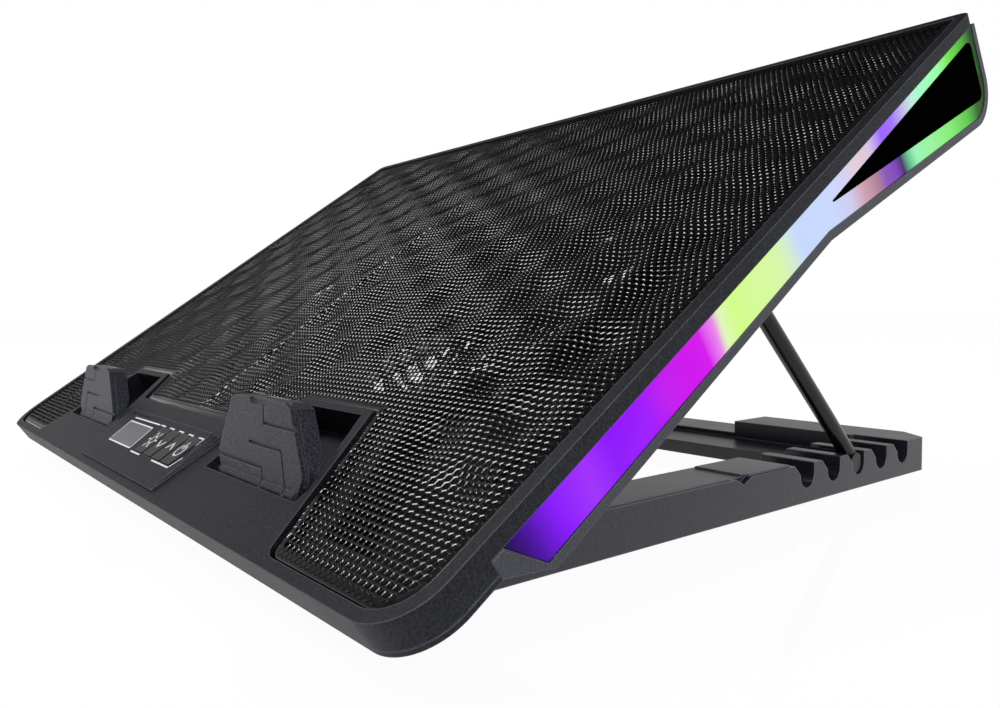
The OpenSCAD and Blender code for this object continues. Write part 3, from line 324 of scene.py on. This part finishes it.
materials["meshPaint"] = paintedMesh("glossBlackPowderCoat")
nodeFinish = dict(
    base_frame="baseAbs", base_feet="rubber", hinge_pins="steel", leg_right="legAbs", leg_left="legAbs",
    leg_sleeve_right="rubber", leg_sleeve_left="rubber", leg_pins="steel", top_frame="deckAbs",
    mesh_grille="meshPaint", bottom_tray="deckAbs", tray_screws="steel", side_frame_right="sideAbs",
    side_frame_left="sideAbs", light_diffuser_right="diffuser", light_diffuser_left="diffuser",
    side_plate_right="gloss", side_plate_left="gloss", light_end_cap_right="sideAbs",
    light_end_cap_left="sideAbs", led_strip_right="lampBoard", led_strip_left="lampBoard",
    fan_frame_right="fanAbs", fan_frame_left="fanAbs", fan_stator_right="copper", fan_stator_left="copper",
    fan_bearing_right="brass", fan_bearing_left="brass", fan_rotor_right="fanAbs", fan_rotor_left="fanAbs",
    fan_shaft_right="steel", fan_shaft_left="steel", fan_screws="steel", stopper_right="stopperAbs",
    stopper_left="stopperAbs", stopper_pad_right="greyRubber", stopper_pad_left="greyRubber",
    stopper_pins="steel", control_panel="deckAbs", display_window="window", display_module="gloss",
    control_board="board", key_switches="lampBoard", key_light="keyAbs", key_fan_down="keyAbs",
    key_fan_up="keyAbs", key_power="keyAbs", usb_board="board", usb_sockets="steel")
for node, finish in nodeFinish.items():
    slots = frame["nodes"][node].data.materials
    slots.clear()
    slots.append(materials[finish])
print("materials on", len(nodeFinish), "nodes")


def meshPiece(name, points, faces, material, body, smooth=True):
    # points (n, 3) in metres and faces as an (m, 3) or (m, 4) array of corner numbers
    data = bpy.data.meshes.new(name)
    count = faces.shape[1]
    data.vertices.add(len(points))
    data.vertices.foreach_set("co", np.asarray(points, np.float32).ravel())
    data.loops.add(faces.size)
    data.loops.foreach_set("vertex_index", faces.astype(np.int32).ravel())
    data.polygons.add(len(faces))
    data.polygons.foreach_set("loop_start", np.arange(0, faces.size, count, dtype=np.int32))
    data.polygons.foreach_set("use_smooth", np.full(len(faces), smooth))
    data.update(calc_edges=True)
    data.validate()
    data.materials.append(material)
    piece = bpy.data.objects.new(name, data)
    bpy.context.scene.collection.objects.link(piece)
    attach(piece, body)
    return piece


# lengths in mm; corner gives the right half of the sheet's outline, as (u, v, radius)
meshSheet = dict(
    pitch=2.5, hole=0.86, lip=0.36, top=-0.7, rimWidth=3.4, rimDrop=2.6,
    roll=0.9, rollFrom=1.2, lap=0.12, flatTo=1.3,
    corner=[(64.0, 39.6, 0), (74.1, 57.0, 0), (119.3, 57.0, 0), (141.6, 3.4, 6), (201.0, 3.4, 13), (201.0, 294.0, 2)],
    border=1.5, firstRow=2.0, columns=84, rows=140, strips=2)
# whole dishes only: within reach of the middle, below back, and above a front that steps with the distance across
dishSheet = dict(pitch=28.4, depth=1.6, at=(8.5, 22.6), reach=192, back=284, fade=(2.5, 5),
                 outerFront=(146, 34), innerFront=(70, 66), middleFront=50)


def roundedOutline(corners, inward):
    # each corner moves inward along the bisector by d (n1 + n2) / (1 + n1.n2), then gets its radius;
    # a step is 5 degrees where the radius is over 5 mm, else 15, as in the part's source
    p = np.array([c[:2] for c in corners])
    e = np.roll(p, -1, 0) - p
    e /= np.linalg.norm(e, axis=1)[:, None]
    n = np.stack([-e[:, 1], e[:, 0]], 1)
    before = np.roll(n, 1, 0)
    p = p + inward * (before + n) / (1 + (before * n).sum(1))[:, None]
    out = []
    for i, corner in enumerate(corners):
        radius = max(corner[2] - inward, 0.0) if corner[2] else 0.0
        e1, e2 = e[i - 1], e[i]
        bend = math.atan2(e1[0] * e2[1] - e1[1] * e2[0], float(e1 @ e2))
        step = 5 if corner[2] > 5 else 15
        steps = max(int(math.ceil(abs(math.degrees(bend)) / step)), 1) if corner[2] else 0
        angles = np.linspace(0, bend, steps + 1) if steps else np.zeros(1)
        sign = math.copysign(1, bend)
        centre = p[i] - e1 * radius * math.tan(abs(bend) / 2) + sign * radius * np.array([-e1[1], e1[0]])
        turned = np.stack([np.cos(angles) * -e1[1] - np.sin(angles) * e1[0],
                           np.sin(angles) * -e1[1] + np.cos(angles) * e1[0]], 1)
        out.append(centre - sign * radius * turned)
    return np.concatenate(out)


def bothSides(half):
    # the half outline and its mirror image, in one round
    return half + [(-x, y, r) for x, y, r in reversed(half)]


def insideOutline(outline, x, y):
    # even-odd rule: how many edges of the outline lie to the right of each point
    a, b = outline, np.roll(outline, -1, 0)
    inside = np.zeros(x.shape, bool)
    for (ax, ay), (bx, by) in zip(a, b):
        if ay == by:
            continue
        cross = (ay > y) != (by > y)
        inside ^= cross & (x < (bx - ax) * (y - ay) / (by - ay) + ax)
    return inside


def edgeDistance(outline, x, y):
    # least distance from each point to the outline's segments
    a, b = outline, np.roll(outline, -1, 0)
    best = np.full(x.shape, 1e9)
    for p, q in zip(a, b):
        d = q - p
        t = np.clip(((x - p[0]) * d[0] + (y - p[1]) * d[1]) / (d @ d + 1e-12), 0, 1)
        best = np.minimum(best, np.hypot(x - p[0] - t * d[0], y - p[1] - t * d[1]))
    return best


def dishes(u, v):
    # hexagonal dishes on a honeycomb: from the nearest middle, the distance toward the flat sides is the
    # largest of three projections; the depth runs smoothly from 0 on the ridges to 1 in the middle
    d = dishSheet
    step, half = d["pitch"] * math.cos(math.pi / 6), d["pitch"] / 2
    (outer, outerFront), (inner, innerFront) = d["outerFront"], d["innerFront"]
    least = np.full(np.shape(u), 1e9)
    depth = np.zeros(np.shape(u))
    for k in (-1, 0, 1):
        i = np.round((u - d["at"][0]) / step) + k
        shift = np.where(np.mod(i, 2) == 1, half, 0.0)
        j = np.round((v - d["at"][1] - shift) / d["pitch"])
        cu, cv = d["at"][0] + i * step, d["at"][1] + shift + j * d["pitch"]
        x, y = np.abs(u - cu), np.abs(v - cv)
        toSide = np.maximum(y, x * math.cos(math.pi / 6) + y / 2)
        front = np.where(np.abs(cu) > outer, outerFront, np.where(np.abs(cu) > inner, innerFront, d["middleFront"]))
        whole = (np.abs(cu) < d["reach"]) & (cv > front) & (cv < d["back"])
        t = np.clip((half - toSide) / half, 0, 1)
        nearer = np.hypot(x, y) < least
        depth = np.where(nearer, np.where(whole, t * t * (3 - 2 * t), 0), depth)
        least = np.minimum(least, np.hypot(x, y))
    return depth


def rolledEdge(inward):
    # a quarter circle over the last millimetre: r (1 - cos a), with sin a = (from - inward) / r
    r = meshSheet["roll"]
    sine = np.clip((meshSheet["rollFrom"] - inward) / r, 0, 1)
    return r * (1 - np.sqrt(1 - sine ** 2))


def sheetHeight(u, v, outline):
    inward = edgeDistance(outline, u, v)
    fade = np.clip((inward - dishSheet["fade"][0]) / dishSheet["fade"][1], 0, 1)
    return meshSheet["top"] - dishSheet["depth"] * dishes(u, v) * fade - rolledEdge(inward)


def makeMeshSheet():
    m = meshSheet
    corners = bothSides(m["corner"])
    outline = roundedOutline(corners, 0)
    keep = roundedOutline(corners, m["border"])
    pitch, row = m["pitch"], m["pitch"] * math.sqrt(3) / 2
    i, j = np.meshgrid(np.arange(-m["columns"], m["columns"] + 1), np.arange(0, m["rows"]))
    cu = i * pitch + (j % 2) * pitch / 2
    cv = j * row + m["firstRow"]
    ok = insideOutline(keep, cu, cv)
    cu, cv = cu[ok], cv[ok]
    # every cell is a hexagon with a hexagonal hole; neighbours share their corners, which are merged by place
    angle = np.radians(30 + 60 * np.arange(6))
    outerU = cu[:, None] + pitch / math.sqrt(3) * np.cos(angle)
    outerV = cv[:, None] + pitch / math.sqrt(3) * np.sin(angle)
    bounds = np.quantile(cu, np.linspace(0, 1, m["strips"] + 1))
    for s in range(m["strips"]):
        mine = (cu >= bounds[s]) & (cu < bounds[s + 1] + (s == m["strips"] - 1))
        ou, ov = outerU[mine], outerV[mine]
        hu = cu[mine][:, None] + m["hole"] * np.cos(angle)
        hv = cv[mine][:, None] + m["hole"] * np.sin(angle)
        key = np.round(np.stack([ou.ravel(), ov.ravel()], 1) * 20).astype(np.int64)   # steps of 0.05 mm
        _, first, back = np.unique(key, axis=0, return_index=True, return_inverse=True)
        back = back.reshape(ou.shape)
        su, sv = ou.ravel()[first], ov.ravel()[first]
        shared = deckPoint(su, sv, sheetHeight(su, sv, outline))
        holes = deckPoint(hu.ravel(), hv.ravel(), sheetHeight(hu.ravel(), hv.ravel(), outline) - m["lip"])
        n = len(shared)
        ring = n + np.arange(hu.size).reshape(hu.shape)
        faces = np.stack([back, np.roll(back, -1, 1), np.roll(ring, -1, 1), ring], -1).reshape(-1, 4)
        sheet = meshPiece(f"meshSheet{s + 1}", np.concatenate([shared, holes]), faces,
                          materials["meshPaint"], "deck")
        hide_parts("mesh_grille")
    # the rim: from under the outermost holes to the edge, then rolled down over a quarter circle
    profile = [(m["rimWidth"], -m["lap"]), (m["flatTo"], -m["lap"])]
    profile += [(m["rollFrom"] - m["roll"] * math.sin(a), -m["lap"] - m["roll"] * (1 - math.cos(a)))
                for a in np.radians([20, 40, 60, 80, 90])]
    profile += [(m["rollFrom"] - m["roll"], -m["rimDrop"])]
    rings = []
    for inward, drop in profile:
        line = roundedOutline(corners, inward)
        rings.append(deckPoint(line[:, 0], line[:, 1], m["top"] + drop))
    rings = np.stack(rings)
    rows, cols = rings.shape[:2]
    r, c = np.meshgrid(np.arange(rows - 1), np.arange(cols), indexing="ij")
    a, b = r * cols + c, r * cols + (c + 1) % cols
    faces = np.stack([a, a + cols, b + cols, b], -1).reshape(-1, 4)
    rim = meshPiece("meshRim", rings.reshape(-1, 3), faces, materials["meshPaint"], "deck")
    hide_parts("mesh_grille")
    print("mesh sheet with", len(cu), "holes")


makeMeshSheet()


def strokes(lines, width, place, height):
    # each straight stroke from a to b becomes a flat quad of the given width
    points, faces = [], []
    for (ax, ay), (bx, by) in lines:
        d = np.array([bx - ax, by - ay])
        d = d / np.linalg.norm(d)
        n = np.array([-d[1], d[0]]) * width / 2
        e = d * width / 2
        quad = [(ax - e[0] + n[0], ay - e[1] + n[1]), (ax - e[0] - n[0], ay - e[1] - n[1]),
                (bx + e[0] - n[0], by + e[1] - n[1]), (bx + e[0] + n[0], by + e[1] + n[1])]
        faces.append([len(points) + k for k in range(4)])
        points += quad
    p = np.array(points)
    return place(p[:, 0], p[:, 1], np.full(len(p), height)), np.array(faces)


def printInk(name, colour):
    # White pad-printed ink: flat, slightly dull, with thin spots that show a little grey
    material, tree = newMaterial(name)
    place = addNode(tree, "ShaderNodeTexCoord")
    wearAndEdgeHighlight = addNode(tree, "ShaderNodeTexNoise", links=[(place.outputs["Object"], "Vector")],
                   inputs={"Scale": 1000 / 1.4286})   # thin spots 1.4 mm wide
    ramp = addNode(tree, "ShaderNodeValToRGB", links=[(wearAndEdgeHighlight.outputs["Fac"], "Fac")])
    ramp.color_ramp.elements[0].color, ramp.color_ramp.elements[1].color = linear(colour), linear("#ffffff")
    shader = addNode(tree, "ShaderNodeBsdfPrincipled", inputs={"Roughness": 0.5},
                     links=[(ramp.outputs["Color"], "Base Color")])
    finishMaterial(tree, shader.outputs[0])
    return material


materials["ink"] = printInk("whiteInk", "#e4e4e6")
# the panel's print in mm: a frame round the window, lines above and below it and the keys, and ticks
# between the keys, each a level stroke along the top and a short one down to the tick's foot
marks = dict(window=(-35.5, 10.3, -5.3, 21.5), ticks=5, tick0=4.4, tickStep=10.6, tickLength=4.6,
             tickFoot=(0.9, 20.9), top=24.0, bottom=9.4, width=0.62, thickness=0.03,
             above=((-34.5, 23.6), (-2.6, 23.9)), below=((-1, 9.8), (25.3, 43.7)),
             corner=((43.7, 9.4), (46.6, 14.5)))
x0, y0, x1, y1 = marks["window"]
panelLines = [((x0, y0), (x1, y0)), ((x1, y0), (x1, y1)), ((x1, y1), (x0, y1)), ((x0, y1), (x0, y0)), marks["above"]]
for start, end in marks["below"]:
    panelLines.append(((start, marks["bottom"]), (end, marks["bottom"])))
panelLines.append(marks["corner"])
inset, foot = marks["tickFoot"]
for k in range(marks["ticks"]):
    x, top = marks["tick0"] + k * marks["tickStep"], marks["top"]
    panelLines += [((x - marks["tickLength"], top), (x, top)), ((x, top), (x - inset, foot))]
points, faces = strokes(panelLines, marks["width"], panelPoint, marks["thickness"])
meshPiece("panelPrint", points, faces, materials["ink"], "deck", smooth=False)
keyMarks = dict(first=(8.2, 16.8), step=10.6, scale=1.25, lean=0.31, width=0.58, height=0.43)


def keyIcon(index, lines, name):
    # a small mark on a key, which leans with the key: x grows by lean / scale for each step up the panel
    k = keyMarks
    cx, cy = k["first"][0] + index * k["step"], k["first"][1]
    place = lambda x, y, h: panelPoint(cx + k["scale"] * x + k["lean"] * y, cy + k["scale"] * y, h)
    points, faces = strokes(lines, k["width"], place, k["height"])
    meshPiece(name + "Mark", points, faces, materials["ink"], name, smooth=False)


def arc(radius, start, end, count):
    # straight steps along a circle of this radius, from one angle to another in degrees
    a = np.radians(np.linspace(start, end, count + 1))
    p = np.stack([radius * np.cos(a), radius * np.sin(a)], 1)
    return [(tuple(p[k]), tuple(p[k + 1])) for k in range(count)]


keyIcon(0, arc(1.5, 0, 360, 12) + [((2.4 * math.cos(a), 2.4 * math.sin(a)), (3.2 * math.cos(a), 3.2 * math.sin(a)))
                                   for a in np.radians(np.arange(0, 360, 60))], "key_light")
keyIcon(1, [((-2, 0.6), (0, -1.6)), ((0, -1.6), (2, 0.6))], "key_fan_down")
keyIcon(2, [((-2, -0.8), (0, 1.4)), ((0, 1.4), (2, -0.8))], "key_fan_up")
keyIcon(3, arc(2.1, 125, 415, 12) + [((0, 0.7), (0, 3.0))], "key_power")
print("printed marks ready")


sweep = dict(size=6.0, colour="#f2f2f2", white=1.03, share=0.96, gloss=0.03, glossRoughness=0.06)


def stagePlane():
    # white sweep: it shows pure white to the camera where nothing darkens it, and a faint mirror image
    material, tree = newMaterial("whiteSweep")
    rays = addNode(tree, "ShaderNodeLightPath")
    matt = addNode(tree, "ShaderNodeBsdfDiffuse", inputs={"Color": linear(sweep["colour"])})
    white = addNode(tree, "ShaderNodeEmission", inputs={"Color": (1, 1, 1, 1), "Strength": sweep["white"]})
    gloss = addNode(tree, "ShaderNodeBsdfGlossy",
                    inputs={"Color": (1, 1, 1, 1), "Roughness": sweep["glossRoughness"]})
    seen = addNode(tree, "ShaderNodeMath", operation="MAXIMUM",
                   links=[(rays.outputs["Is Camera Ray"], 0), (rays.outputs["Is Glossy Ray"], 1)])
    share = addNode(tree, "ShaderNodeMath", operation="MULTIPLY", links=[(seen.outputs[0], 0)])
    share.inputs[1].default_value = sweep["share"]
    mixed = addNode(tree, "ShaderNodeMixShader",
                    links=[(share.outputs[0], 0), (matt.outputs[0], 1), (white.outputs[0], 2)])
    both = addNode(tree, "ShaderNodeMixShader", inputs={0: sweep["gloss"]},
                   links=[(mixed.outputs[0], 1), (gloss.outputs[0], 2)])
    finishMaterial(tree, both.outputs[0])
    size = sweep["size"]
    data = bpy.data.meshes.new("floor")
    data.from_pydata([(-size, -size, 0), (size, -size, 0), (size, size, 0), (-size, size, 0)], [], [(0, 1, 2, 3)])
    data.materials.append(material)
    floor = bpy.data.objects.new("floor", data)
    bpy.context.scene.collection.objects.link(floor)


def areaLight(name, at, toward, size, power):
    # a white rectangle that shines from one place toward another
    data = bpy.data.lights.new(name, "AREA")
    data.shape, data.size, data.size_y = "RECTANGLE", size[0], size[1]
    data.energy = power
    lamp = bpy.data.objects.new(name, data)
    bpy.context.scene.collection.objects.link(lamp)
    lamp.location = at
    lamp.rotation_euler = (Vector(toward) - Vector(at)).to_track_quat("-Z", "Y").to_euler()


stagePlane()
lamps = dict(
    overhead=dict(at=(-0.5, -0.55, 1.25), toward=(0, 0, 0.1), size=(0.5, 0.4), power=11),
    rightSide=dict(at=(1.4, -0.35, 0.75), toward=(0, 0, 0.1), size=(0.5, 0.5), power=8))
for name, lamp in lamps.items():
    areaLight(name, **lamp)
world = bpy.data.worlds.new("studio")
world.use_nodes = True
tree = world.node_tree
tree.nodes.clear()
rays = addNode(tree, "ShaderNodeLightPath")
up = addNode(tree, "ShaderNodeSeparateXYZ", links=[(addNode(tree, "ShaderNodeTexCoord").outputs["Generated"], 0)])
# white round the horizon, where the sweep stands, and dimmer overhead: Z is the height on a unit sphere
sky = dict(low=0.05, high=0.7, horizon=0.9, overhead=0.05)
studio = addNode(tree, "ShaderNodeMapRange", interpolation_type="SMOOTHSTEP", links=[(up.outputs["Z"], "Value")],
                 inputs={"From Min": sky["low"], "From Max": sky["high"],
                         "To Min": sky["horizon"], "To Max": sky["overhead"]})
bright = addNode(tree, "ShaderNodeMath", operation="MAXIMUM",
                 links=[(rays.outputs["Is Camera Ray"], 0), (studio.outputs[0], 1)])
air = addNode(tree, "ShaderNodeBackground", inputs={"Color": (1, 1, 1, 1)}, links=[(bright.outputs[0], "Strength")])
addNode(tree, "ShaderNodeOutputWorld", links=[(air.outputs[0], "Surface")])
bpy.context.scene.world = world
print("stage and lights ready")
